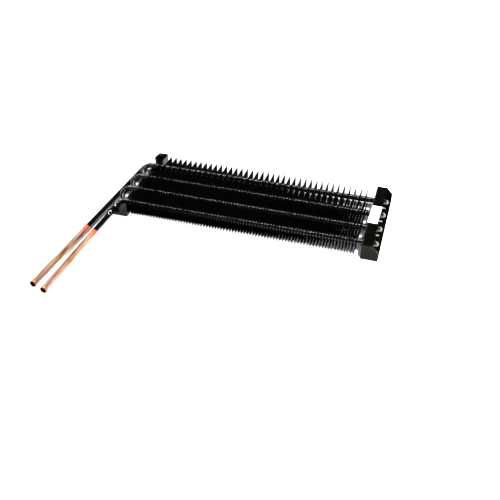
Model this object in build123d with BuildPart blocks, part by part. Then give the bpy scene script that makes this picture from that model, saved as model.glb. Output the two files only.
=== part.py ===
from build123d import *
import os
from math import cos, floor, hypot, pi, radians, tan

# Evaporator coil: a double-pitch fin pack threaded on a staggered tube circuit, between two folded
# end plates, with two connection tubes that come round the left plate towards the viewer.
# X runs along the tubes from left to right, Y away from the viewer, Z up. All sizes in mm.

# Tube of the circuit
tube_od = 9.52
tube_wall = 0.7
tube_sides = 12
half_turn_steps = 8

# Tube pattern, columns counted from the far side, odd columns low and even columns high
hairpin_count = 4
column_pitch = 22.0
level_pitch = 12.7
short_fin_columns = 6

# Fin pack
web_span = 405.0
fin_pitch = 5.135
fin_thickness = 0.3
fin_hole_clearance = 0.1
fin_hole_sides = 4
first_fin_gap = 4.5
last_fin_gap = 9.9

# End plates, sizes outward from the face that looks at the fins
sheet = 1.2
bend_inner_radius = 1.0
plate_height = 26.5
plate_margin = 6.0
flange_width = 28.5
flange_chamfer = 10.7
corner_slit = 0.8
web_hole_clearance = 0.15

# Near flange of the left plate, cut away where the near stub tube passes
notch_start = 15.0
notch_floor = 6.5
notch_corner = 2.0

# Slots across the bottom flange of the right plate
slot_count = 4
slot_pitch = 44.0
slot_width = 5.0
slot_length = 16.0

# Belled tube ends just outside the left plate, and what is seated in them
bell_setback = 0.4
bell_cone = 1.2
bell_length = 8.0
socket_depth = 6.5
socket_clearance = 0.08

# Straight run between a web and the start of its bends
hairpin_overhang = 7.6
return_bend_overhang = 18.5

# Far stub tube, in plan from the face of the left web that looks at the fins
far_stub_out = 39.1
far_stub_drift = 1.7
far_stub_reach = 387.5
far_elbow_radius = 18.0

# Near stub tube, which falls from its high column to the low level as it passes the near flange
near_corner_out = 20.5
near_stub_out = 28.4
near_drop_reach = 35.0
near_stub_reach = 241.2
near_elbow_radius = 13.0
near_drop_radius = 25.0

# Brazed joint of the near stub tube on its way down: straight tube left below the bell's rim
joint_gap = 1.9

# Belled mouths of the two stub tubes
mouth_length = 7.0
mouth_cone = 1.5
mouth_depth = 6.0

# Blank label on the top flange of the right plate
label_length = 54.0
label_width = 16.8
label_thickness = 0.2
label_corner = 1.2
label_turn = 1.6
label_shift = -0.5

# Sizes that follow from the ones above
column_count = 2 * hairpin_count
tube_radius = tube_od / 2
bore_radius = tube_radius - tube_wall
socket_radius = tube_radius + socket_clearance
bell_radius = socket_radius + tube_wall
bend_radius = hypot(column_pitch, level_pitch) / 2
fin_height = 2 * level_pitch
fin_depth = column_count * column_pitch
plate_depth = fin_depth + 2 * plate_margin
top_flange_width = flange_width - flange_chamfer
bend_outer_radius = bend_inner_radius + sheet
bell_start = sheet + bell_setback
bell_end = bell_start + bell_length
socket_floor = bell_end - socket_depth

# The frame stands on the underside of the plates, under the middle of everything there is in plan
drift = radians(far_stub_drift)
reach_left = far_stub_out + far_stub_reach * tan(drift) + bell_radius * cos(drift)
reach_right = flange_width
reach_near = fin_depth / 2 - column_pitch / 2 + near_stub_reach
coil_x = (reach_left - reach_right) / 2
coil_y = (reach_near - plate_depth / 2) / 2
left_web_x = coil_x - web_span / 2
right_web_x = coil_x + web_span / 2
mid_z = plate_height / 2
edge_overrun = 1.0


def column_y(column):
    """Middle of a tube column, counted from 1 on the far side."""
    return coil_y + fin_depth / 2 - column_pitch * (column - 0.5)


def level_z(column):
    """Height of a tube column: odd ones low, even ones high."""
    return mid_z + (-1) ** column * level_pitch / 2


def tube_places(first_column=1):
    """Tube centres as seen along X, in the local axes of Plane.YZ."""
    return [(column_y(k), level_z(k)) for k in range(first_column, column_count + 1)]


def pair_plane(column, web_x, outward):
    """Plane through a column and the next one, x outward from the web and y to the next tube."""
    start = Vector(web_x, column_y(column), level_z(column))
    end = Vector(web_x, column_y(column + 1), level_z(column + 1))
    across = (end - start).normalized()
    along = Vector(outward, 0, 0)
    return Plane(origin=(start + end) * 0.5, x_dir=along, z_dir=along.cross(across))


def bent_route(plane, start, turn):
    """Out along one tube to the turn, half a turn round to the next tube, and back."""
    with BuildLine(plane) as route:
        Line((start, -bend_radius), (turn, -bend_radius))
        CenterArc((turn, 0), bend_radius, -90, 180)
        Line((turn, bend_radius), (start, bend_radius))
    return route.line


def stepped_route(route):
    """The same route with each bend taken in short straight steps."""
    wire = Wire(route.edges())
    places = [0.0]
    for edge in wire.order_edges():
        steps = 1
        if edge.geom_type == GeomType.CIRCLE:
            steps = max(2, round(edge.length / (pi * edge.radius) * half_turn_steps))
        begin = places[-1]
        places += [begin + edge.length * n / steps for n in range(1, steps + 1)]
    return Polyline(*[wire.position_at(place, PositionMode.LENGTH) for place in places])


def end_plate(web_x, outward, has_top_flange):
    """Folded pan with its web at web_x and its flanges turned outward."""
    side = Plane(origin=(web_x, coil_y, 0), x_dir=(outward, 0, 0), z_dir=(0, -outward, 0))
    wide = flange_width + edge_overrun
    tall = plate_height + edge_overrun
    lid = plate_height - sheet
    hollow = [(sheet, sheet), (wide, sheet), (wide, tall), (sheet, tall)]
    if has_top_flange:
        hollow[3:] = [(top_flange_width, tall), (top_flange_width, lid), (sheet, lid)]
    with BuildPart() as pan:
        with BuildSketch(side):
            with BuildLine():
                Polyline((0, 0), (flange_width, 0), (flange_width, plate_height - flange_chamfer),
                         (top_flange_width, plate_height), (0, plate_height), close=True)
            make_face()
        extrude(amount=plate_depth / 2, both=True)
        fillet(fold_edges(pan, web_x, has_top_flange), bend_outer_radius)
        with BuildSketch(side):
            with BuildLine():
                Polyline(*hollow, close=True)
            make_face()
        extrude(amount=plate_depth / 2 - sheet, both=True, mode=Mode.SUBTRACT)
        fillet(fold_edges(pan, web_x + outward * sheet, has_top_flange), bend_inner_radius)
        # Slits at the corners, which let the flanges be folded side by side
        slit_start = bend_outer_radius
        slit_spacing = plate_depth - 2 * sheet - corner_slit
        flanges = [0, lid] if has_top_flange else [0]
        with BuildSketch(*[Plane.XY.offset(z) for z in flanges]):
            with Locations((web_x + outward * (slit_start + wide) / 2, coil_y)):
                with GridLocations(0, slit_spacing, 1, 2):
                    Rectangle(wide - slit_start, corner_slit)
        extrude(amount=sheet, mode=Mode.SUBTRACT)
        # Holes that the tubes pass through
        with BuildSketch(Plane.YZ.offset(web_x)):
            with Locations(*tube_places()):
                RegularPolygon(tube_radius + web_hole_clearance, tube_sides, major_radius=False)
        extrude(amount=sheet + edge_overrun, both=True, mode=Mode.SUBTRACT)
    return pan.part


def fold_edges(pan, face_x, has_top_flange):
    """Edges of the web's face at face_x along which a flange is folded."""
    faces = pan.faces().filter_by(Axis.X)
    edges = faces.sort_by(lambda face: abs(face.center().X - face_x))[0].edges()
    return edges if has_top_flange else edges.sort_by(Axis.Z)[:-1]


os.makedirs("parts", exist_ok=True)


# Left end plate, its near flange notched for the near stub tube
with BuildPart() as left_end_plate:
    add(end_plate(left_web_x, -1, has_top_flange=False))
    near_face = Plane(origin=(left_web_x, coil_y - plate_depth / 2, 0),
                      x_dir=(-1, 0, 0), z_dir=(0, 1, 0))
    with BuildSketch(near_face) as notch:
        with Locations((notch_start, notch_floor)):
            Rectangle(flange_width, plate_height, align=(Align.MIN, Align.MIN))
        inner_corner = near_face.from_local_coords((notch_start, notch_floor))
        fillet(notch.vertices().sort_by_distance(inner_corner)[0], notch_corner)
    extrude(amount=2 * sheet, both=True, mode=Mode.SUBTRACT)
left_end_plate.part.label = "left_end_plate"
export_step(left_end_plate.part, "parts/left_end_plate.step")


# Right end plate, its bottom flange slotted
with BuildPart() as right_end_plate:
    add(end_plate(right_web_x, 1, has_top_flange=True))
    with BuildSketch(Plane.XY):
        with Locations((right_web_x + flange_width / 2, coil_y)):
            with GridLocations(slot_length, slot_pitch, 1, slot_count):
                SlotOverall(slot_length, slot_width)
    extrude(amount=sheet + edge_overrun, both=True, mode=Mode.SUBTRACT)
right_end_plate.part.label = "right_end_plate"
export_step(right_end_plate.part, "parts/right_end_plate.step")


# Fins, short and long ones in turn from the left plate
fin_count = floor((web_span - first_fin_gap - last_fin_gap) / fin_pitch) + 1
fin_places = [left_web_x + first_fin_gap + fin_pitch * n for n in range(fin_count)]
hole_radius = tube_radius + fin_hole_clearance


def fin_group(places, first_column):
    """Flat fins at the given places, from a column to the near side, with a hole for each tube."""
    depth = column_pitch * (column_count + 1 - first_column)
    middle = coil_y - fin_depth / 2 + depth / 2
    with BuildPart() as fins:
        with BuildSketch(*[Plane.YZ.offset(x - fin_thickness / 2) for x in places]):
            with Locations((middle, mid_z)):
                Rectangle(depth, fin_height)
            with Locations(*tube_places(first_column)):
                RegularPolygon(hole_radius, fin_hole_sides, major_radius=False,
                               rotation=180 / fin_hole_sides, mode=Mode.SUBTRACT)
        extrude(amount=fin_thickness)
    return fins.part


long_fins = fin_group(fin_places[1::2], 1)
long_fins.label = "long_fins"
export_step(long_fins, "parts/long_fins.step")

short_fins = fin_group(fin_places[0::2], column_count + 1 - short_fin_columns)
short_fins.label = "short_fins"
export_step(short_fins, "parts/short_fins.step")


# Hairpin tubes, bent at the right and belled at the left
for pair in range(hairpin_count):
    column = 1 + 2 * pair
    route = bent_route(pair_plane(column, right_web_x, 1), -web_span - bell_start, hairpin_overhang)
    path = stepped_route(route)
    with BuildPart() as hairpin_tube:
        with BuildSketch(Plane(origin=path @ 0, z_dir=path % 0)):
            RegularPolygon(tube_radius, tube_sides)
        sweep(path=path, transition=Transition.RIGHT)
        bells = [Plane.YZ.offset(left_web_x - place) for place in (bell_start, bell_start + bell_cone)]
        ends = [(column_y(k), level_z(k)) for k in (column, column + 1)]
        for end in ends:
            with BuildSketch(bells[0]):
                with Locations(end):
                    RegularPolygon(tube_radius, tube_sides)
            with BuildSketch(bells[1]):
                with Locations(end):
                    RegularPolygon(bell_radius, tube_sides)
            loft()
        with BuildSketch(bells[1]):
            with Locations(*ends):
                RegularPolygon(bell_radius, tube_sides)
        extrude(amount=bell_cone - bell_length)
        with BuildSketch(Plane.YZ.offset(left_web_x - socket_floor)):
            with Locations(*ends):
                RegularPolygon(socket_radius, tube_sides, major_radius=False)
        extrude(amount=-socket_depth, mode=Mode.SUBTRACT)
    name = f"hairpin_tube_{pair + 1}"
    hairpin_tube.part.label = name
    export_step(hairpin_tube.part, f"parts/{name}.step")


# Return bends, seated in the bells of neighbouring hairpins
for pair in range(hairpin_count - 1):
    route = bent_route(pair_plane(2 + 2 * pair, left_web_x, -1), socket_floor, return_bend_overhang)
    path = stepped_route(route)
    with BuildPart() as return_bend:
        with BuildSketch(Plane(origin=path @ 0, z_dir=path % 0)):
            RegularPolygon(tube_radius, tube_sides)
        sweep(path=path, transition=Transition.RIGHT)
    name = f"return_bend_{pair + 1}"
    return_bend.part.label = name
    export_step(return_bend.part, f"parts/{name}.step")


def bell_section(rim, heading, length, cone):
    """Half section of a belled end, from its rim back to the plain tube."""
    half_plane = Plane(origin=rim, x_dir=heading, z_dir=heading.cross(Vector(0, 0, 1)))
    with BuildSketch(half_plane) as half:
        with BuildLine():
            Polyline((0, 0), (0, bell_radius), (cone - length, bell_radius),
                     (-length, tube_radius), (-length, 0), close=True)
        make_face()
    return half.sketch


def stub_tube(name, points, radii, has_joint):
    """Connection tube along the points, bored back to its last bend, with a belled open mouth.

    The joint, if it has one, is a bell just above the last bend, closed round the tube in it.
    """
    with BuildLine() as line:
        FilletPolyline(*points, radius=radii)
    path = stepped_route(line.line)
    straight = line.edges().sort_by(SortBy.LENGTH)[-1].length
    before, corner, end = [Vector(*point) for point in points[-3:]]
    heading = (end - corner).normalized()
    arriving = (corner - before).normalized()
    half_turn = radians(arriving.get_angle(heading)) / 2
    joint_rim = corner - arriving * (radii[-1] * tan(half_turn) + joint_gap)
    mouth = Plane(origin=end, x_dir=heading, z_dir=heading.cross(Vector(0, 0, 1)))
    with BuildPart() as stub:
        with BuildSketch(Plane(origin=path @ 0, z_dir=path % 0)):
            RegularPolygon(tube_radius, tube_sides)
        sweep(path=path, transition=Transition.RIGHT)
        revolve(bell_section(end, heading, mouth_length, mouth_cone), axis=Axis(end, heading))
        if has_joint:
            revolve(bell_section(joint_rim, arriving, bell_length, bell_cone),
                    axis=Axis(joint_rim, arriving))
        with BuildSketch(mouth):
            with BuildLine():
                Polyline((0, 0), (0, socket_radius), (-mouth_depth, socket_radius),
                         (-mouth_depth, bore_radius), (-straight, bore_radius), (-straight, 0),
                         close=True)
            make_face()
        revolve(axis=Axis(end, heading), mode=Mode.SUBTRACT)
    stub.part.label = name
    export_step(stub.part, f"parts/{name}.step")


# Far stub tube, elbowed towards the viewer and drifting outward
far_y = column_y(1)
far_z = level_z(1)
stub_tube(
    "far_stub_tube",
    [(left_web_x - socket_floor, far_y, far_z),
     (left_web_x - far_stub_out, far_y, far_z),
     (left_web_x - far_stub_out - far_stub_reach * tan(drift), far_y - far_stub_reach, far_z)],
    [far_elbow_radius], has_joint=False)


# Near stub tube, elbowed down through the notch of the near flange to the low level
near_y = column_y(column_count)
stub_tube(
    "near_stub_tube",
    [(left_web_x - socket_floor, near_y, level_z(column_count)),
     (left_web_x - near_corner_out, near_y, level_z(column_count)),
     (left_web_x - near_stub_out, near_y - near_drop_reach, level_z(1)),
     (left_web_x - near_stub_out, near_y - near_stub_reach, level_z(1))],
    [near_elbow_radius, near_drop_radius], has_joint=True)


# Blank label, lying a little askew on the top flange of the right plate
with BuildPart() as blank_label:
    with BuildSketch(Plane.XY.offset(plate_height)):
        with Locations((right_web_x + top_flange_width / 2 + label_shift, coil_y)):
            RectangleRounded(label_width, label_length, label_corner, rotation=-label_turn)
    extrude(amount=label_thickness)
blank_label.part.label = "blank_label"
export_step(blank_label.part, "parts/blank_label.step")
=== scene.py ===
# %% [markdown]
# An evaporator coil is a flat pack of thin fins on a snaking tube, held between two folded end
# plates. The solids of every piece come from the imported model, which is the fixed frame here:
# this script gives the pieces their round sections, soft edges and finishes. They could be
# modelled anew by eye, but would then drift away from the solids. So the first step reads the
# frame, and a small function gives the box of any of its parts.

# %% Load the frame
import bmesh
import bpy
from math import cos, pi, radians, sin, tan
from mathutils import Matrix, Vector


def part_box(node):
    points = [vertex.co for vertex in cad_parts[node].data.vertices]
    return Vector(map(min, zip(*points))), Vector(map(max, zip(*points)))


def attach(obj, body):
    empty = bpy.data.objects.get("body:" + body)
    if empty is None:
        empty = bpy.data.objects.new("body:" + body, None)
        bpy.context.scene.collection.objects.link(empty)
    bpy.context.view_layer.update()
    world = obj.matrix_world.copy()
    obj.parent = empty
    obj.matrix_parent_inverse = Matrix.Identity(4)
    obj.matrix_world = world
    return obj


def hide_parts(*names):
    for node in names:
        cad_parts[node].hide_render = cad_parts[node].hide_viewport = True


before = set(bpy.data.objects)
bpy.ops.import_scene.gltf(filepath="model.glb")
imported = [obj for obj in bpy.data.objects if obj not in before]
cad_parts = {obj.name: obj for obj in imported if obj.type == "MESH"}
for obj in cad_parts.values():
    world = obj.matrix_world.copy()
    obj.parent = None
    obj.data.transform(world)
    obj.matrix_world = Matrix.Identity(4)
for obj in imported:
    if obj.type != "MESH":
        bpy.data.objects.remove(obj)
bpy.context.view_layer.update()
print("nodes:", len(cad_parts))

# %% [markdown]
# Everything is placed from a few planes of the object: the inner faces of the two webs, the
# middle of the coil in depth and height, and the pitches of the tube pattern. They could be typed
# in, but read from the boxes of the plates and fins they always agree with the frame. The eight
# tube columns zigzag between two levels, and two small functions say where each one is. Only
# sizes that no box can give, such as a wall or a clearance, are written as numbers, in metres.

# %% Planes and pitches from the frame
left_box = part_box("left_end_plate")
right_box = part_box("right_end_plate")
long_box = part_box("long_fins")
short_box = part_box("short_fins")
WEB_LEFT = left_box[1].x
WEB_RIGHT = right_box[0].x
COIL_X = (WEB_LEFT + WEB_RIGHT) / 2
COIL_Y = (left_box[0].y + left_box[1].y) / 2
MID_Z = (left_box[0].z + left_box[1].z) / 2
COLUMNS = 8
COLUMN_PITCH = (long_box[1].y - long_box[0].y) / COLUMNS
LEVEL_PITCH = (long_box[1].z - long_box[0].z) / 2


def column_y(column):
    """Middle of a tube column, counted from 1 on the far side."""
    return COIL_Y + COLUMN_PITCH * (COLUMNS / 2 + 0.5 - column)


def level_z(column):
    """Height of a tube column: odd ones low, even ones high."""
    return MID_Z + (-1) ** column * LEVEL_PITCH / 2


print("web span", round(WEB_RIGHT - WEB_LEFT, 4), "column pitch", round(COLUMN_PITCH, 5))

# %% [markdown]
# The camera comes next, so that every later render can be laid beside the photograph. It could be
# pushed about until the picture looks right, but an error in its place can hide in its angles.
# These are the place and angles of a camera fitted to the corners of the plates and the rows of
# fins, given from the middle of the coil on the floor. The photograph is square, so only the
# width of the sensor counts.

# %% Camera at the photograph's viewpoint
LENS_MM = 45.81
SENSOR_MM = 36.0
CAMERA_ASIDE = 0.2646
CAMERA_IN_FRONT = 0.91835
CAMERA_UP = 0.61442
CAMERA_TURN = radians(16.514)
CAMERA_TILT = radians(90 - 36.552)
CAMERA_ROLL = radians(0.42)


def in_scene(name, data):
    """A new object in the scene that shows the given data."""
    shown = bpy.data.objects.new(name, data)
    bpy.context.scene.collection.objects.link(shown)
    return shown


camera = in_scene("camera", bpy.data.cameras.new("camera"))
camera.data.lens = LENS_MM
camera.data.sensor_width = SENSOR_MM
camera.location = (COIL_X + CAMERA_ASIDE, COIL_Y - CAMERA_IN_FRONT, CAMERA_UP)
turn = Matrix.Rotation(CAMERA_TURN, 4, "Z")
tilt = Matrix.Rotation(CAMERA_TILT, 4, "X")
roll = Matrix.Rotation(CAMERA_ROLL, 4, "Z")
camera.rotation_euler = (turn @ tilt @ roll).to_euler()
bpy.context.scene.camera = camera
print("camera at", [round(v, 3) for v in camera.location])

# %% [markdown]
# A product picture on white is taken on a large sheet of paper. A white sky alone could stand in
# for it, but then nothing would carry the shadow in the pockets between the tubes. So a wide
# plane is the sheet.

# %% Floor of white paper
FLOOR_SIZE = 12.0
PAPER_WHITE = (0.9, 0.9, 0.9, 1)


def node_material(name):
    """A new material, its node tree and its main shader."""
    material = bpy.data.materials.new(name)
    material.use_nodes = True
    tree = material.node_tree
    return material, tree, tree.nodes["Principled BSDF"]


def set_inputs(node, values):
    """Set sockets of a node, given by name."""
    for socket, value in values.items():
        node.inputs[socket].default_value = value


bpy.ops.mesh.primitive_plane_add(size=FLOOR_SIZE)
floor = bpy.context.object
floor.name = "floor"
paper, _, paper_shader = node_material("floor_paper")
set_inputs(paper_shader, {"Base Color": PAPER_WHITE, "Roughness": 0.9, "Specular IOR Level": 0.0})
floor.data.materials.append(paper)
print("floor", FLOOR_SIZE, "m wide")

# %% [markdown]
# A black coat shows what it mirrors. A picture of a studio could be the sky, but the coil only
# needs its main tones: a white horizon, as the sheet has it, and a dark room above. A colour ramp
# over the height gives both. So near faces mirror white and top faces stay dark.

# %% Sky
WHITE_UP_TO = 0.14
DARK_FROM = 0.30
HORIZON_WHITE = (1, 1, 1)
ROOM_DARK = (0.03, 0.03, 0.03)
SKY_STRENGTH = 1.6


def link(tree, source, target, socket):
    """Join an output, given as (node, output), to a socket of another node."""
    node, output = source
    tree.links.new(node.outputs[output], target.inputs[socket])


def ramp_node(tree, source, stops):
    """Colour ramp over a value, with its stops given as (place, colour)."""
    ramp = tree.nodes.new("ShaderNodeValToRGB")
    elements = ramp.color_ramp.elements
    while len(elements) < len(stops):
        elements.new(0.5)
    for element, (place, colour) in zip(elements, stops):
        element.position = place
        element.color = (*colour, 1)
    link(tree, source, ramp, "Fac")
    return ramp, "Color"


world = bpy.data.worlds.new("studio")
bpy.context.scene.world = world
world.use_nodes = True
sky = world.node_tree
direction = sky.nodes.new("ShaderNodeTexCoord")
height = sky.nodes.new("ShaderNodeSeparateXYZ")
link(sky, (direction, "Generated"), height, "Vector")
dusk = ramp_node(sky, (height, "Z"), [(WHITE_UP_TO, HORIZON_WHITE), (DARK_FROM, ROOM_DARK)])
link(sky, dusk, sky.nodes["Background"], "Color")
set_inputs(sky.nodes["Background"], {"Strength": SKY_STRENGTH})
print("sky nodes:", len(sky.nodes))

# %% [markdown]
# The sheet is lit past white, so that shadows in the open fade. One lamp could do it, but it
# would also fill the pockets between the tubes. So the sheet has two low lamps of its own, from
# behind and from the front: where one is shaded the other is not, and only the pockets stay dark.
# A third, weak one looks in between the fins. Light linking keeps all three off the coil, which
# has a key lamp of its own to the right in front.

# %% Far lamps
SHEET_ONLY = "INCLUDE"
ALL_BUT_SHEET = "EXCLUDE"


def far_lamp(name, strength, disc, elevation, azimuth):
    """A far lamp; its disc, elevation and azimuth from the right are in degrees."""
    lamp = bpy.data.lights.new(name, "SUN")
    lamp.energy = strength
    lamp.angle = radians(disc)
    holder = in_scene(name, lamp)
    holder.rotation_euler = (0, radians(90 - elevation), radians(azimuth))
    return holder


def reaches(holder, state):
    """Let a lamp reach only the sheet, or all but the sheet."""
    group = bpy.data.collections.new(holder.name + "_reach")
    group.objects.link(floor)
    group.collection_objects[0].light_linking.link_state = state
    holder.light_linking.receiver_collection = group


reaches(far_lamp("sheet_lamp_behind", strength=8.2, disc=2, elevation=36, azimuth=80),
        SHEET_ONLY)
reaches(far_lamp("sheet_lamp_in_front", strength=15, disc=3, elevation=17, azimuth=-64),
        SHEET_ONLY)
reaches(far_lamp("sheet_lamp_along_fins", strength=0.8, disc=3, elevation=30, azimuth=-88),
        SHEET_ONLY)
reaches(far_lamp("key_lamp", strength=5.5, disc=4, elevation=52, azimuth=-46), ALL_BUT_SHEET)

# %% [markdown]
# A thin highlight runs along every row of tubes. A wide soft lamp would smear it, and a small one
# would leave a single dot. So a narrow strip lamp, longer than the tubes, hangs over the coil. The
# Standard view with some more contrast keeps the paper white and the coat black.

# %% Strip lamp and view
STRIP_LENGTH = 2.4
STRIP_WIDTH = 0.06
STRIP_WATTS = 48.0
STRIP_BEHIND = 0.25
STRIP_UP = 1.4
STRIP_TILT = radians(-10)
strip = bpy.data.lights.new("strip_lamp", "AREA")
strip.shape = "RECTANGLE"
strip.size = STRIP_LENGTH
strip.size_y = STRIP_WIDTH
strip.energy = STRIP_WATTS
strip_holder = in_scene("strip_lamp", strip)
strip_holder.location = (0, COIL_Y + STRIP_BEHIND, STRIP_UP)
strip_holder.rotation_euler = (STRIP_TILT, 0, 0)
reaches(strip_holder, ALL_BUT_SHEET)
bpy.context.scene.view_settings.view_transform = "Standard"
bpy.context.scene.view_settings.look = "Medium High Contrast"

# %% [markdown]
# Every finish of the coil is built from the same few nodes: a noise, and then a ramp, a new range
# or a bump that reads it. An image could bring the same marks, but it would have to be wrapped
# round every tube. A noise needs no wrapping: it reads the object's own coordinates, so it stays
# on the piece. Each helper makes one node and gives back its output, ready for the next one.

# %% Helpers for materials
NOISE_LOW = 0.3
NOISE_HIGH = 0.7


def noise_node(tree, scale, detail, stretch=(1, 1, 1)):
    """Noise on the object's own coordinates, stretched along its axes."""
    place = tree.nodes.new("ShaderNodeTexCoord")
    mapping = tree.nodes.new("ShaderNodeMapping")
    noise = tree.nodes.new("ShaderNodeTexNoise")
    set_inputs(mapping, {"Scale": stretch})
    set_inputs(noise, {"Scale": scale, "Detail": detail})
    link(tree, (place, "Object"), mapping, "Vector")
    link(tree, (mapping, "Vector"), noise, "Vector")
    return noise, "Fac"


def range_node(tree, source, low, high, from_low=NOISE_LOW, from_high=NOISE_HIGH):
    """Value mapped to a new range, clamped at its ends."""
    node = tree.nodes.new("ShaderNodeMapRange")
    set_inputs(node, {"From Min": from_low, "From Max": from_high,
                      "To Min": low, "To Max": high})
    link(tree, source, node, "Value")
    return node, "Result"


def bump_node(tree, source, strength, distance):
    """Bump from a value."""
    node = tree.nodes.new("ShaderNodeBump")
    set_inputs(node, {"Strength": strength, "Distance": distance})
    link(tree, source, node, "Height")
    return node, "Normal"


print("a noise is read between", NOISE_LOW, "and", NOISE_HIGH)

# %% [markdown]
# The whole coil was dipped in a black coat after brazing. One even black could do, but it would
# look like plastic. On sheet the coat is glossy with a faint orange peel and a brown cast where
# light grazes it, on the tubes it is smoother and brighter, and on the fins it is dull. One
# function makes each coat from three noises: one drifts the colour, another the roughness, and a
# third, finer one bumps the surface.

# %% Black coats
PEEL_DEPTH = 0.0002
NO_TINT = (1, 1, 1, 1)
BROWN_TINT = (1.0, 0.87, 0.72, 1)


def black_coat(name, dark, light, roughness, peel, gloss, tint=NO_TINT):
    """Dip coat whose colour, roughness and surface drift a little."""
    material, tree, shader = node_material(name)
    tone = noise_node(tree, scale=60, detail=4)
    link(tree, ramp_node(tree, tone, [(0.35, dark), (0.7, light)]), shader, "Base Color")
    haze = noise_node(tree, scale=140, detail=3)
    link(tree, range_node(tree, haze, *roughness), shader, "Roughness")
    skin = noise_node(tree, scale=900, detail=2)
    link(tree, bump_node(tree, skin, peel, PEEL_DEPTH), shader, "Normal")
    set_inputs(shader, {"Specular IOR Level": gloss, "Specular Tint": tint})
    return material


sheet_coat = black_coat("coat_on_sheet", dark=(0.0008, 0.0007, 0.0006),
                        light=(0.0030, 0.0025, 0.0020), roughness=(0.08, 0.18),
                        peel=0.10, gloss=0.30, tint=BROWN_TINT)
fin_coat = black_coat("coat_on_fins", dark=(0.0005, 0.0005, 0.0005),
                      light=(0.0020, 0.0018, 0.0018), roughness=(0.75, 0.88),
                      peel=0.10, gloss=0.02)
tube_coat = black_coat("coat_on_tubes", dark=(0.0006, 0.0006, 0.0006),
                       light=(0.0022, 0.0020, 0.0018), roughness=(0.07, 0.14),
                       peel=0.05, gloss=0.55)
print("coats:", [coat.name for coat in (sheet_coat, fin_coat, tube_coat)])

# %% [markdown]
# The connection tubes are bare copper towards their mouths. The coat ends in a clean line, just
# past it the copper is orange from the torch, and further out golden and rosy stretches follow
# each other, with pale and brown patches drawn out along the tube. Two materials on two parts of
# the mesh could do it, but their border would run along the faces. Here metal and coat share one
# shader, and Mix nodes go from one to the other. A Mix node keeps sockets for every kind of
# value, so the helper notes the numbers of its factor, its two sources and its result.

# %% A helper that mixes two finishes
MIX_SOCKETS = {"FLOAT": ((0, 2, 3), 0), "RGBA": ((0, 6, 7), 2)}


def mix_node(tree, kind, factor, a, b):
    """Mix of two numbers or colours; factor is a (node, output) pair, a and b pairs or values."""
    node = tree.nodes.new("ShaderNodeMix")
    node.data_type = kind
    sockets, output = MIX_SOCKETS[kind]
    for socket, source in zip(sockets, (factor, a, b)):
        if isinstance(source, tuple) and isinstance(source[0], bpy.types.Node):
            link(tree, source, node, socket)
        else:
            set_inputs(node, {socket: source})
    return node, output


print("kinds of mix:", list(MIX_SOCKETS))

# %% [markdown]
# The line between coat and metal is a step along Y, a little uneven, that mixes their colour,
# metalness and roughness. The same coordinate fades the orange of the torch. The streaks could
# be painted, but a noise drawn out along the tube makes them without any seam, in a golden and a
# rosy version, and a slow noise chooses between the two.

# %% Copper that runs out of the coat
COAT_EDGE = 0.0002
LINE_WOBBLE = 0.0006
TORCH_REACH = 0.022
DRAWN_OUT = (1, 0.08, 1)
SCRATCHED = (1, 0.3, 1)
GOLDEN_STOPS = [(0.37, (0.15, 0.062, 0.030)), (0.47, (0.33, 0.18, 0.100)),
                (0.62, (0.50, 0.34, 0.215))]
ROSY_STOPS = [(0.37, (0.13, 0.05, 0.032)), (0.47, (0.29, 0.145, 0.105)),
              (0.62, (0.45, 0.30, 0.24))]
TORCH_ORANGE = (0.62, 0.13, 0.05, 1)
COAT_BLACK = (0.0012, 0.0011, 0.0011, 1)
COPPER_METAL = 0.8
COAT_METAL = 0.0
COPPER_ROUGHNESS = (0.60, 0.42)
COAT_ROUGHNESS = 0.06
FAR_COAT_REACH = 0.1515
NEAR_COAT_REACH = 0.1595


def coated_copper(name, line_y):
    """Copper on the viewer's side of line_y, black coat on the coil's side."""
    material, tree, shader = node_material(name)
    place = tree.nodes.new("ShaderNodeTexCoord")
    axes = tree.nodes.new("ShaderNodeSeparateXYZ")
    link(tree, (place, "Object"), axes, "Vector")
    wobble = noise_node(tree, scale=300, detail=2)
    shift = range_node(tree, wobble, -LINE_WOBBLE, LINE_WOBBLE)
    uneven = tree.nodes.new("ShaderNodeMath")
    uneven.operation = "ADD"
    link(tree, (axes, "Y"), uneven, 0)
    link(tree, shift, uneven, 1)
    coat = range_node(tree, (uneven, "Value"), 0, 1, line_y - COAT_EDGE, line_y + COAT_EDGE)
    torch = range_node(tree, (axes, "Y"), 0, 1, line_y - TORCH_REACH, line_y)
    streaks = noise_node(tree, scale=260, detail=5, stretch=DRAWN_OUT)
    golden = ramp_node(tree, streaks, GOLDEN_STOPS)
    rosy = ramp_node(tree, streaks, ROSY_STOPS)
    slow = noise_node(tree, scale=14, detail=1)
    stretches = range_node(tree, slow, 0, 1, from_low=0.42, from_high=0.58)
    drawn = mix_node(tree, "RGBA", stretches, golden, rosy)
    heated = mix_node(tree, "RGBA", torch, drawn, TORCH_ORANGE)
    link(tree, mix_node(tree, "RGBA", coat, heated, COAT_BLACK), shader, "Base Color")
    link(tree, mix_node(tree, "FLOAT", coat, COPPER_METAL, COAT_METAL), shader, "Metallic")
    patina = range_node(tree, streaks, *COPPER_ROUGHNESS)
    link(tree, mix_node(tree, "FLOAT", coat, patina, COAT_ROUGHNESS), shader, "Roughness")
    skin = noise_node(tree, scale=500, detail=3, stretch=SCRATCHED)
    bumps = bump_node(tree, skin, strength=0.12, distance=PEEL_DEPTH)
    link(tree, bumps, shader, "Normal")
    return material


far_line = COIL_Y - FAR_COAT_REACH
near_line = COIL_Y - NEAR_COAT_REACH
far_copper = coated_copper("copper_far_tube", far_line)
near_copper = coated_copper("copper_near_tube", near_line)
print("copper line at", round(far_line, 4), round(near_line, 4))

# %% [markdown]
# The open mouths show the inside of the tubes, dark with oxide from the torch. The copper of the
# outside could run on into the bore, but it would gleam there. So the bore has a finish of its
# own, a rough and very deep brown that changes a little from place to place.

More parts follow.
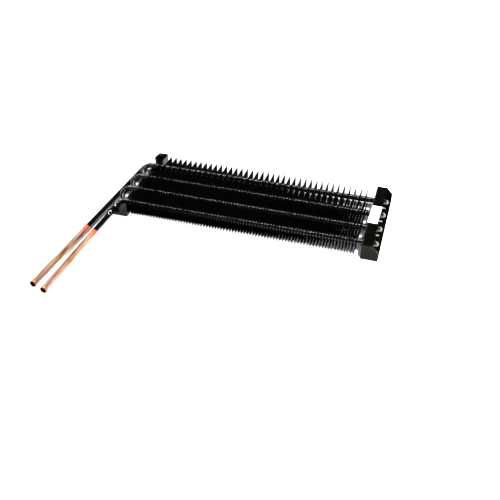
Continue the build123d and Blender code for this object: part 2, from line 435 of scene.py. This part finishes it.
# %% Oxide in the bore
bore_dark, bore_tree, bore_shader = node_material("oxide_in_bore")
soot = noise_node(bore_tree, scale=200, detail=3)
oxide = ramp_node(bore_tree, soot, [(0.3, (0.002, 0.001, 0.001)), (0.7, (0.008, 0.004, 0.003))])
link(bore_tree, oxide, bore_shader, "Base Color")
set_inputs(bore_shader, {"Roughness": 0.9, "Specular IOR Level": 0.05})
print("bore finish:", bore_dark.name)

# %% [markdown]
# A tube is a circle carried along a route, and a route is a list of points. It could be drawn as
# a curve with handles, but a tube bender makes straight legs and true arcs. Every tube of the
# snake turns from one column to the next, so one function lays out a leg, half a turn in short
# steps and the leg back.

# %% Half turns
ARC_STEPS = 28
BEND_R = (COLUMN_PITCH ** 2 + LEVEL_PITCH ** 2) ** 0.5 / 2


def half_turn_route(column, web_x, outward, start, overhang):
    """Points out along a column, half a turn to the next column and back again."""
    first = Vector((web_x, column_y(column), level_z(column)))
    second = Vector((web_x, column_y(column + 1), level_z(column + 1)))
    along = Vector((outward, 0, 0))
    across = (second - first).normalized()
    middle = (first + second) / 2 + along * overhang
    points = [first + along * start]
    for step in range(ARC_STEPS + 1):
        angle = -pi / 2 + pi * step / ARC_STEPS
        points.append(middle + (along * cos(angle) + across * sin(angle)) * BEND_R)
    points.append(second + along * start)
    return points


print("bend radius", round(BEND_R, 5), "in", ARC_STEPS, "steps")

# %% [markdown]
# Bells and mouths sit at measured distances along a tube, so a route must be walked: how far is
# each point from the start, where does a distance fall, and which way does the tube run there?
# A curve object could answer this too, but a few lines on the points are exact and easy to read.

# %% Walking along a route
ROUNDING = 1e-9


def stations(points):
    """Distance, place and direction at each point of a route."""
    rows = []
    travelled = 0.0
    for index, point in enumerate(points):
        before = points[max(index - 1, 0)]
        after = points[min(index + 1, len(points) - 1)]
        if index:
            travelled += (point - before).length
        incoming = (point - before).normalized() if index else (after - point).normalized()
        outgoing = (after - point).normalized() if index < len(points) - 1 else incoming
        rows.append((travelled, point, (incoming + outgoing).normalized()))
    return rows


def route_length(points):
    """Length of a route over all its points."""
    return stations(points)[-1][0]


def along_route(rows, distance):
    """Place and direction at a distance along a route."""
    for (d0, p0, t0), (d1, p1, t1) in zip(rows, rows[1:]):
        if distance <= d1 + ROUNDING:
            share = (distance - d0) / (d1 - d0)
            return p0.lerp(p1, share), t0.lerp(t1, share).normalized()
    return rows[-1][1], rows[-1][2]


print("half a turn measures", round(pi * BEND_R, 5))

# %% [markdown]
# A bevelled curve could carry the circle along the route, but it can't widen it for a bell. So a
# tube is a mesh made ring by ring, with a profile that gives the radius along the way, and the
# section stays exactly round in the bends. The rings turn with the route by the smallest
# rotation, so no face is twisted.

# %% Rings along a route
RING_SIDES = 48
RING_GAP = 1e-5


def ring_rows(rows, profile):
    """Rings of a skin: the profile's own stations and the route's stations between them."""
    rings = []
    for (d0, r0), (d1, r1) in zip(profile, profile[1:]):
        rings.append((d0, r0))
        rings += [(d, r0 + (r1 - r0) * (d - d0) / (d1 - d0)) for d, _, _ in rows
                  if d0 + RING_GAP < d < d1 - RING_GAP]
    rings.append(profile[-1])
    return rings


def skin(mesh, rows, profile):
    """Rings of vertices along a route, at the radii of a profile."""
    heading = rows[0][2]
    normal = heading.orthogonal().normalized()
    rings = []
    for distance, radius in ring_rows(rows, profile):
        place, tangent = along_route(rows, distance)
        normal = heading.rotation_difference(tangent) @ normal
        heading = tangent
        binormal = heading.cross(normal)
        rings.append([mesh.verts.new(place + (normal * cos(a) + binormal * sin(a)) * radius)
                      for a in (2 * pi * n / RING_SIDES for n in range(RING_SIDES))])
    return rings


print("sides of a ring:", RING_SIDES)

# %% [markdown]
# A tube needs a wall, because its mouths are open to the eye. Solidify could give a single skin
# its thickness, but the bore has steps of its own at the sockets. So one skin lies outside and
# one in the bore, each with its own profile, and a band of faces joins them at either end.

# %% Tube meshes
RIM_ANGLE = radians(40)


def band(mesh, one, two, slot, outside):
    """Smooth faces between two rings, turned outwards or into the bore."""
    for n in range(RING_SIDES):
        m = (n + 1) % RING_SIDES
        corners = [one[n], one[m], two[m], two[n]]
        face = mesh.faces.new(corners if outside else corners[::-1])
        face.material_index = slot
        face.smooth = True


def tube_piece(name, points, outer, inner, materials):
    """Closed mesh of a tube; the last of its materials is that of the bore."""
    rows = stations(points)
    mesh = bmesh.new()
    outside = skin(mesh, rows, outer)
    bore = skin(mesh, rows, inner)
    for one, two in zip(outside, outside[1:]):
        band(mesh, one, two, 0, True)
    for one, two in zip(bore, bore[1:]):
        band(mesh, one, two, len(materials) - 1, False)
    band(mesh, bore[0], outside[0], 0, True)
    band(mesh, outside[-1], bore[-1], 0, True)
    data = bpy.data.meshes.new(name)
    mesh.to_mesh(data)
    mesh.free()
    data.set_sharp_from_angle(angle=RIM_ANGLE)
    for material in materials:
        data.materials.append(material)
    return in_scene(name, data)


print("rims stay sharp from", round(RIM_ANGLE, 2), "radians on")

# %% [markdown]
# Each hairpin is one tube bent double. It is pushed through the plates and fins from the right,
# and its two ends are then belled out just outside the left plate to take the next bend. The bell
# could be a sleeve of its own, but on the real coil it is the tube itself. So it lies in the
# profile: a cone and a wider sleeve with a softened rim, and in the bore a step to the socket.

# %% Hairpin tubes
TUBE_R = 0.00476
TUBE_WALL = 0.0007
SOCKET_GAP = 0.00008
BORE_R = TUBE_R - TUBE_WALL
SOCKET_R = TUBE_R + SOCKET_GAP
BELL_R = SOCKET_R + TUBE_WALL
BELL_START = 0.0016
BELL_LENGTH = 0.008
BELL_CONE = 0.0012
RIM = 0.00025
SOCKET_DEPTH = 0.0065
HAIRPIN_OVERHANG = 0.0076


def bell_skins(length):
    """Outer and inner profile of a tube that is belled at both ends."""
    outer = [(0, BELL_R - RIM), (RIM, BELL_R), (BELL_LENGTH - BELL_CONE, BELL_R),
             (BELL_LENGTH, TUBE_R)]
    inner = [(0, SOCKET_R), (SOCKET_DEPTH, SOCKET_R), (SOCKET_DEPTH + TUBE_WALL, BORE_R)]
    outer += [(length - d, r) for d, r in reversed(outer)]
    inner += [(length - d, r) for d, r in reversed(inner)]
    return outer, inner


def dressed(piece, slot, *nodes):
    """Let a finished piece ride on the coil and stand for its nodes."""
    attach(piece, "root")
    if nodes:
        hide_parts(*nodes)
    return piece


leg_start = WEB_LEFT - WEB_RIGHT - BELL_START - BELL_LENGTH
for number in range(COLUMNS // 2):
    route = half_turn_route(1 + 2 * number, WEB_RIGHT, 1, leg_start, HAIRPIN_OVERHANG)
    outer, inner = bell_skins(route_length(route))
    node = f"hairpin_tube_{number + 1}"
    piece = tube_piece(f"hairpin_{number + 1}", route, outer, inner, [tube_coat])
    dressed(piece, "coated_tube", node)
print("hairpin length", round(route_length(route), 4))

# %% [markdown]
# The return bends are plain half turns seated in the bells, and they reach further out than the
# flanges do. They could be cut from a torus, but laid out as a route they use the same helper as
# the hairpins do, and their legs run straight down to the floor of the sockets.

# %% Return bends
RETURN_OVERHANG = 0.0185
SOCKET_FLOOR = BELL_START + BELL_LENGTH - SOCKET_DEPTH
for number in range(COLUMNS // 2 - 1):
    route = half_turn_route(2 + 2 * number, WEB_LEFT, -1, SOCKET_FLOOR, RETURN_OVERHANG)
    length = route_length(route)
    node = f"return_bend_{number + 1}"
    piece = tube_piece(f"return_{number + 1}", route, [(0, TUBE_R), (length, TUBE_R)],
                       [(0, BORE_R), (length, BORE_R)], [tube_coat])
    dressed(piece, "coated_tube", node)
print("return bend length", round(length, 4))

# %% [markdown]
# The two connection tubes start in the outermost sockets. The far one turns towards the viewer
# and drifts outward a little, and the near one falls through the notch of the near flange to the
# same low level. Every point of an arc could be worked out by hand, but a route is quicker to read
# as its corners and the radius at each one. The corners are placed by the same planes as the rest.

# %% Routes of the connection tubes
FAR_OUT = 0.0391
FAR_DRIFT = radians(1.7)
FAR_REACH = 0.3875
FAR_RADII = [0.018]
NEAR_CORNER_OUT = 0.0205
NEAR_OUT = 0.0284
NEAR_DROP = 0.035
NEAR_REACH = 0.2412
NEAR_RADII = [0.013, 0.025]
FEWEST_STEPS = 4


def cornered_route(corners, radii):
    """Points along straight runs, with an arc of the given radius at each inner corner."""
    points = [corners[0]]
    for before, corner, after, radius in zip(corners, corners[1:], corners[2:], radii):
        arriving = (corner - before).normalized()
        leaving = (after - corner).normalized()
        turning = arriving.angle(leaving)
        inward = (leaving - arriving * leaving.dot(arriving)).normalized()
        start = corner - arriving * radius * tan(turning / 2)
        centre = start + inward * radius
        steps = max(FEWEST_STEPS, round(ARC_STEPS * turning / pi))
        for step in range(steps + 1):
            angle = turning * step / steps
            points.append(centre + (arriving * sin(angle) - inward * cos(angle)) * radius)
    points.append(corners[-1])
    return points


far_y = column_y(1)
far_z = level_z(1)
near_y = column_y(COLUMNS)
near_z = level_z(COLUMNS)
far_corners = [Vector((WEB_LEFT - SOCKET_FLOOR, far_y, far_z)),
               Vector((WEB_LEFT - FAR_OUT, far_y, far_z)),
               Vector((WEB_LEFT - FAR_OUT - FAR_REACH * tan(FAR_DRIFT), far_y - FAR_REACH, far_z))]
near_corners = [Vector((WEB_LEFT - SOCKET_FLOOR, near_y, near_z)),
                Vector((WEB_LEFT - NEAR_CORNER_OUT, near_y, near_z)),
                Vector((WEB_LEFT - NEAR_OUT, near_y - NEAR_DROP, far_z)),
                Vector((WEB_LEFT - NEAR_OUT, near_y - NEAR_REACH, far_z))]
print("corners:", len(far_corners), "far,", len(near_corners), "near")

# %% [markdown]
# On its way down the near tube is brazed together from two pieces, so it swells to a bell once
# more, just above its last bend. Both tubes end in a belled mouth, where the next pipe goes in.
# Bells and mouths could be rings slipped over the tube, but in the profile they have no seam.

# %% Connection tubes
MOUTH_LENGTH = 0.007
MOUTH_CONE = 0.0015
MOUTH_DEPTH = 0.006
JOINT_GAP = 0.0019


def stub_skins(length, joint_at):
    """Profiles of a tube with a belled mouth and perhaps a joint, at joint_at before its end."""
    outer = [(0, TUBE_R)]
    if joint_at:
        rim = length - joint_at
        outer += [(rim - BELL_LENGTH, TUBE_R), (rim - BELL_LENGTH + BELL_CONE, BELL_R),
                  (rim - RIM, BELL_R), (rim, BELL_R - RIM), (rim, TUBE_R)]
    outer += [(length - MOUTH_LENGTH, TUBE_R),
              (length - MOUTH_LENGTH + MOUTH_CONE, BELL_R), (length - RIM, BELL_R),
              (length, BELL_R - RIM)]
    inner = [(0, BORE_R), (length - MOUTH_DEPTH - TUBE_WALL, BORE_R),
             (length - MOUTH_DEPTH, SOCKET_R), (length, SOCKET_R)]
    return outer, inner


run_out = near_corners[3] - near_corners[2]
run_down = near_corners[2] - near_corners[1]
turned = run_down.angle(run_out)
bend_length = NEAR_RADII[1] * turned
bend_cut = NEAR_RADII[1] * tan(turned / 2)
near_joint = run_out.length + bend_length - bend_cut + JOINT_GAP
for name, corners, radii, copper, joint_at in (
        ("far", far_corners, FAR_RADII, far_copper, None),
        ("near", near_corners, NEAR_RADII, near_copper, near_joint)):
    route = cornered_route(corners, radii)
    length = route_length(route)
    outer, inner = stub_skins(length, joint_at)
    piece = tube_piece(f"{name}_connection", route, outer, inner, [copper, bore_dark])
    dressed(piece, "copper", f"{name}_stub_tube")
    print(name, "connection tube", round(length, 4))

# %% [markdown]
# Fillets and fins repeat one shape many times. Each could be copied by hand or in a loop, but
# Geometry Nodes do it from a few named sizes. A tree ends in Realize Instances and Set Material,
# because the export drops instances. The result is read back as a plain mesh, and the modifier
# goes before the piece rides on anything.

# %% Helpers for Geometry Nodes


def new_tree(name, sizes):
    """A tree with a geometry input and output, and a named number input for each size."""
    tree = bpy.data.node_groups.new(name, "GeometryNodeTree")
    tree.interface.new_socket("Geometry", in_out="INPUT", socket_type="NodeSocketGeometry")
    tree.interface.new_socket("Geometry", in_out="OUTPUT", socket_type="NodeSocketGeometry")
    for label, (kind, value) in sizes.items():
        socket = tree.interface.new_socket(label, in_out="INPUT", socket_type=kind)
        socket.default_value = value
    return tree, tree.nodes.new("NodeGroupInput"), tree.nodes.new("NodeGroupOutput")


def realized(tree, geometry, group_out, material):
    """End of a tree: instances made real, with one material."""
    real = tree.nodes.new("GeometryNodeRealizeInstances")
    paint = tree.nodes.new("GeometryNodeSetMaterial")
    set_inputs(paint, {"Material": material})
    link(tree, geometry, real, "Geometry")
    link(tree, (real, "Geometry"), paint, "Geometry")
    link(tree, (paint, "Geometry"), group_out, "Geometry")


def baked(piece, tree, values, name):
    """Run a tree on a piece with the given inputs and return the result as a plain object."""
    modifier = piece.modifiers.new(tree.name, "NODES")
    modifier.node_group = tree
    for item in tree.interface.items_tree:
        if item.in_out == "INPUT" and item.name in values:
            modifier[item.identifier] = values[item.name]
    graph = bpy.context.evaluated_depsgraph_get()
    data = bpy.data.meshes.new_from_object(piece.evaluated_get(graph))
    data.name = name
    piece.modifiers.remove(modifier)
    result = in_scene(name, data)
    bpy.data.objects.remove(piece)
    return result


def triangles(data):
    """Number of triangles of a mesh."""
    return sum(len(face.vertices) - 2 for face in data.polygons)


print("near connection triangles", triangles(piece.data))

# %% [markdown]
# The brazing left a small concave fillet of filler where each tube enters its bell. It could be a
# bevel between tube and bell, but they are two closed meshes. So one ring is made from its points
# one by one, with lumps as a torch leaves them.

# %% One braze fillet
FILLET = 0.0011
FILLET_SIDES = 40
FILLET_STEPS = 5
FILLET_ROOT = 0.0001
FILLET_SKIN = 0.00003
BROAD_LUMPS = 0.18
SMALL_LUMPS = 0.10


def fillet_ring():
    """One concave fillet about X, from the bell's rim to the tube that enters it."""
    mesh = bmesh.new()
    section = [(0.0, TUBE_R - FILLET_ROOT)]
    for step in range(FILLET_STEPS + 1):
        angle = pi / 2 * step / FILLET_STEPS
        reach = FILLET * (1 - sin(angle))
        height = (BELL_R - RIM - TUBE_R) * (1 - cos(angle))
        section.append((-reach, TUBE_R + FILLET_SKIN + height))
    rings = []
    for n in range(FILLET_SIDES):
        angle = 2 * pi * n / FILLET_SIDES
        lump = 1 + BROAD_LUMPS * sin(3 * angle) + SMALL_LUMPS * sin(7 * angle + 1)
        rings.append([mesh.verts.new((x * lump, r * cos(angle), r * sin(angle)))
                      for x, r in section])
    for one, two in zip(rings, rings[1:] + rings[:1]):
        for k in range(len(section)):
            m = (k + 1) % len(section)
            mesh.faces.new((one[k], one[m], two[m], two[k])).smooth = True
    bmesh.ops.recalc_face_normals(mesh, faces=mesh.faces)
    data = bpy.data.meshes.new("fillet_ring")
    mesh.to_mesh(data)
    mesh.free()
    return in_scene("fillet_ring", data)


ring = fillet_ring()
print("triangles of one fillet", triangles(ring.data))

# %% [markdown]
# All eight fillets are alike, but equal lumps in a row would show. Geometry Nodes put a copy of
# the ring on a point at each socket and give it a random turn about the tube, from a fixed seed.
# A loop could do that as well, but here one tree holds the whole rule.

# %% Fillets on the sockets
FILLET_SEED = 5


def fillet_tree(ring):
    """Instances of the ring on the input's points, each turned about X by a random angle."""
    tree, group_in, group_out = new_tree("fillets_on_sockets", {"Seed": ("NodeSocketInt", 0)})
    pick = tree.nodes.new("GeometryNodeObjectInfo")
    set_inputs(pick, {"Object": ring})
    spin = tree.nodes.new("FunctionNodeRandomValue")
    spin.data_type = "FLOAT_VECTOR"
    set_inputs(spin, {"Min": (0, 0, 0), "Max": (2 * pi, 0, 0)})
    place = tree.nodes.new("GeometryNodeInstanceOnPoints")
    link(tree, (group_in, "Seed"), spin, "Seed")
    link(tree, (group_in, "Geometry"), place, "Points")
    link(tree, (pick, "Geometry"), place, "Instance")
    link(tree, (spin, "Value"), place, "Rotation")
    realized(tree, (place, "Instances"), group_out, tube_coat)
    return tree


socket_points = bpy.data.meshes.new("socket_points")
mouth_x = WEB_LEFT - BELL_START - BELL_LENGTH
socket_points.from_pydata([(mouth_x, column_y(k), level_z(k)) for k in range(1, COLUMNS + 1)],
                          [], [])
fillets = baked(in_scene("sockets", socket_points), fillet_tree(ring), {"Seed": FILLET_SEED},
                "braze_fillets")
bpy.data.objects.remove(ring)
dressed(fillets, "coated_tube")
print("fillet triangles", triangles(fillets.data))

# %% [markdown]
# A fin is a strip of thin sheet with a round hole for each tube. The holes could be cut by
# booleans, but a filled curve with an inner loop for every hole is quicker and cleaner. It is
# drawn flat, with the fin's depth along X and its height along Y.

# %% The sheet of a fin
HOLE_SIDES = 20
HOLE_GAP = 0.00004
HOLE_R = TUBE_R + HOLE_GAP
FIN_THICKNESS = 0.0003
FIN_CORNER = 0.0006


def circle_points(y, z):
    """Points of a tube hole in the plane of a fin."""
    return [(y + HOLE_R * cos(2 * pi * n / HOLE_SIDES), z + HOLE_R * sin(2 * pi * n / HOLE_SIDES))
            for n in range(HOLE_SIDES)]


def fin_outline(y0, y1, z0, z1):
    """Rectangle of the fin with its sheared corners eased."""
    e = FIN_CORNER
    return [(y0 + e, z0), (y1 - e, z0), (y1, z0 + e), (y1, z1 - e),
            (y1 - e, z1), (y0 + e, z1), (y0, z1 - e), (y0, z0 + e)]


def punched_sheet(name, box, columns):
    """Flat sheet of a fin with its holes, drawn as a filled curve."""
    curve = bpy.data.curves.new(name, "CURVE")
    curve.dimensions = "2D"
    curve.fill_mode = "BOTH"
    curve.extrude = FIN_THICKNESS / 2
    loops = [fin_outline(box[0].y, box[1].y, box[0].z, box[1].z)]
    loops += [circle_points(column_y(k), level_z(k)) for k in columns]
    for loop in loops:
        spline = curve.splines.new("POLY")
        spline.points.add(len(loop) - 1)
        for point, (y, z) in zip(spline.points, loop):
            point.co = (y, z, 0, 1)
        spline.use_cyclic_u = True
    drawn = in_scene(name, curve)
    graph = bpy.context.evaluated_depsgraph_get()
    data = bpy.data.meshes.new_from_object(drawn.evaluated_get(graph))
    bpy.data.objects.remove(drawn)
    return data


print("hole radius", round(HOLE_R, 5))

# %% [markdown]
# The press draws a short collar up round each hole, which grips the tube and holds the fin upright.
# A plain cylinder could stand for it, but a drawn collar is flared where it leaves the sheet.
# So it is turned from a small section. The flat sheet is stood upright first.

# %% A whole fin
COLLAR_WALL = 0.00022
COLLAR_R = HOLE_R + COLLAR_WALL
COLLAR_LENGTH = 0.0016
COLLAR_FLARE = 0.0004
FLARE_LENGTH = 0.0005
COLLAR_ANGLE = radians(35)
FIN_MERGE = 1e-7
UPRIGHT = Matrix(((0, 0, 1, 0), (1, 0, 0, 0), (0, 1, 0, 0), (0, 0, 0, 1)))


def add_collar(mesh, y, z):
    """Drawn collar round a hole."""
    section = [(0.0, COLLAR_R + COLLAR_FLARE), (FLARE_LENGTH, COLLAR_R),
               (COLLAR_LENGTH, COLLAR_R), (COLLAR_LENGTH, HOLE_R)]
    rings = []
    for n in range(HOLE_SIDES):
        angle = 2 * pi * n / HOLE_SIDES
        rings.append([mesh.verts.new((x, y + r * cos(angle), z + r * sin(angle)))
                      for x, r in section])
    for one, two in zip(rings, rings[1:] + rings[:1]):
        for k in range(len(section) - 1):
            mesh.faces.new((one[k], one[k + 1], two[k + 1], two[k])).smooth = True


def make_fin(name, box, first_column):
    """One fin at x = 0 with holes and collars from a column to the near side."""
    columns = range(first_column, COLUMNS + 1)
    data = punched_sheet(name, box, columns)
    mesh = bmesh.new()
    mesh.from_mesh(data)
    bmesh.ops.transform(mesh, matrix=UPRIGHT, verts=mesh.verts)
    bmesh.ops.remove_doubles(mesh, verts=mesh.verts, dist=FIN_MERGE)
    for k in columns:
        add_collar(mesh, column_y(k), level_z(k))
    bmesh.ops.recalc_face_normals(mesh, faces=mesh.faces)
    mesh.to_mesh(data)
    mesh.free()
    data.set_sharp_from_angle(angle=COLLAR_ANGLE)
    print(name, "triangles", triangles(data))
    return in_scene(name, data)


print("collar radius", round(COLLAR_R, 5))

# %% [markdown]
# The fins stand in a row at an even pitch: a line of points along X, and a copy of the fin on
# every point. An Array modifier could do that, but handling has bent the real fins a little, so
# in this tree each copy leans by a small random angle about the middle of its height.

# %% A tree for a row of fins


def fin_row_tree():
    """Copies of the input mesh along X, each leaning by a small random angle about its middle."""
    sizes = {"Count": ("NodeSocketInt", 2), "First": ("NodeSocketFloat", 0.0),
             "Pitch": ("NodeSocketFloat", 0.01), "Lean": ("NodeSocketFloat", 0.0),
             "Seed": ("NodeSocketInt", 0)}
    tree, group_in, group_out = new_tree("fin_row", sizes)
    start = tree.nodes.new("ShaderNodeCombineXYZ")
    step = tree.nodes.new("ShaderNodeCombineXYZ")
    line = tree.nodes.new("GeometryNodeMeshLine")
    place = tree.nodes.new("GeometryNodeInstanceOnPoints")
    spread = tree.nodes.new("FunctionNodeRandomValue")
    spread.data_type = "FLOAT"
    low = tree.nodes.new("ShaderNodeMath")
    low.operation = "MULTIPLY"
    low.inputs[1].default_value = -1
    lean = tree.nodes.new("ShaderNodeCombineXYZ")
    pivot = tree.nodes.new("GeometryNodeRotateInstances")
    centre = tree.nodes.new("ShaderNodeCombineXYZ")
    set_inputs(centre, {"Y": COIL_Y, "Z": MID_Z})
    link(tree, (group_in, "First"), start, "X")
    link(tree, (group_in, "Pitch"), step, "X")
    link(tree, (group_in, "Count"), line, "Count")
    link(tree, (start, "Vector"), line, "Start Location")
    link(tree, (step, "Vector"), line, "Offset")
    link(tree, (line, "Mesh"), place, "Points")
    link(tree, (group_in, "Geometry"), place, "Instance")
    link(tree, (group_in, "Lean"), low, 0)
    link(tree, (low, "Value"), spread, "Min")
    link(tree, (group_in, "Lean"), spread, "Max")
    link(tree, (group_in, "Seed"), spread, "Seed")
    link(tree, (spread, "Value"), lean, "Y")
    link(tree, (place, "Instances"), pivot, "Instances")
    link(tree, (lean, "Vector"), pivot, "Rotation")
    link(tree, (centre, "Vector"), pivot, "Pivot Point")
    realized(tree, (pivot, "Instances"), group_out, fin_coat)
    return tree


fin_tree = fin_row_tree()
print("nodes of the tree:", len(fin_tree.nodes))

# %% [markdown]
# The long fins run over the full depth of the coil, and the short ones stand between them over
# the near six columns. They could share one list of points, but each kind has its own count and
# first fin, so the same tree runs twice, with the pitch taken from the box of each row.

# %% The fin rows
LONG_COUNT = 38
SHORT_COUNT = 39
LONG_FROM_COLUMN = 1
SHORT_FROM_COLUMN = 3
LEAN = radians(0.35)
FIN_SEED = 11
for name, node, box, first_column, count in (
        ("fins_long", "long_fins", long_box, LONG_FROM_COLUMN, LONG_COUNT),
        ("fins_short", "short_fins", short_box, SHORT_FROM_COLUMN, SHORT_COUNT)):
    pitch = (box[1].x - box[0].x - FIN_THICKNESS) / (count - 1)
    values = {"Count": count, "First": box[0].x + FIN_THICKNESS / 2, "Pitch": pitch,
              "Lean": LEAN, "Seed": FIN_SEED + count}
    fins = baked(make_fin(name + "_one", box, first_column), fin_tree, values, name)
    dressed(fins, "coated_fins", node)
    print(name, "pitch", round(pitch, 5))

# %% [markdown]
# The end plates have the right form already, but their edges are knife sharp, and a dipped edge
# is round and catches the light. A shader could fake the round edge, but the export would lose
# it. So a copy of each plate's mesh is merged, its flat faces are joined, and a narrow bevel
# rounds every edge. Weighted normals then keep the flat faces flat, so that they mirror the
# studio evenly. The copy stands for the plate, with the sheet coat.

# %% End plates with softened edges
EDGE_R = 0.00022
EDGE_STEPS = 2
EDGE_ANGLE = radians(50)
FLAT_ANGLE = radians(1)
PLATE_MERGE = 1e-6
FLAT_FACE_WEIGHT = 100


def flat_faced(node, name):
    """Copy of a node's mesh with its triangles joined into flat faces."""
    mesh = bmesh.new()
    mesh.from_mesh(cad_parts[node].data)
    bmesh.ops.remove_doubles(mesh, verts=mesh.verts, dist=PLATE_MERGE)
    bmesh.ops.dissolve_limit(mesh, angle_limit=FLAT_ANGLE, verts=mesh.verts, edges=mesh.edges)
    data = bpy.data.meshes.new(name)
    mesh.to_mesh(data)
    mesh.free()
    return data


def softened(node, name, material):
    """Copy of a node with rounded edges and evenly shaded flat faces."""
    data = flat_faced(node, name)
    data.shade_smooth()
    piece = in_scene(name, data)
    bevel = piece.modifiers.new("edges", "BEVEL")
    bevel.width = EDGE_R
    bevel.segments = EDGE_STEPS
    bevel.limit_method = "ANGLE"
    bevel.angle_limit = EDGE_ANGLE
    weights = piece.modifiers.new("weights", "WEIGHTED_NORMAL")
    weights.weight = FLAT_FACE_WEIGHT
    graph = bpy.context.evaluated_depsgraph_get()
    final = bpy.data.meshes.new_from_object(piece.evaluated_get(graph))
    piece.modifiers.clear()
    piece.data = final
    final.materials.append(material)
    return piece


for side in ("left", "right"):
    plate = softened(f"{side}_end_plate", f"{side}_plate", sheet_coat)
    dressed(plate, "coated_sheet", f"{side}_end_plate")
    print(side, "plate triangles", triangles(plate.data))

# %% [markdown]
# The label is plain white paper with rounded corners, stuck a little askew on the top flange. It
# could be a white patch in the coat, but a real one has an edge. So it is a thin closed slab, the
# same as its solid, and its paper is not quite even in tone.

# %% Blank label
label_paper, label_tree, label_shader = node_material("label_paper")
fibres = noise_node(label_tree, scale=500, detail=5)
white = ramp_node(label_tree, fibres, [(0.3, (0.80, 0.80, 0.79)), (0.7, (0.90, 0.90, 0.89))])
link(label_tree, white, label_shader, "Base Color")
grain = bump_node(label_tree, fibres, strength=0.15, distance=0.0001)
link(label_tree, grain, label_shader, "Normal")
set_inputs(label_shader, {"Roughness": 0.55})
label_mesh = flat_faced("blank_label", "label_sheet")
label_mesh.materials.append(label_paper)
dressed(in_scene("label_sheet", label_mesh), "label_paper", "blank_label")
print("label corners", len(label_mesh.vertices) // 2)
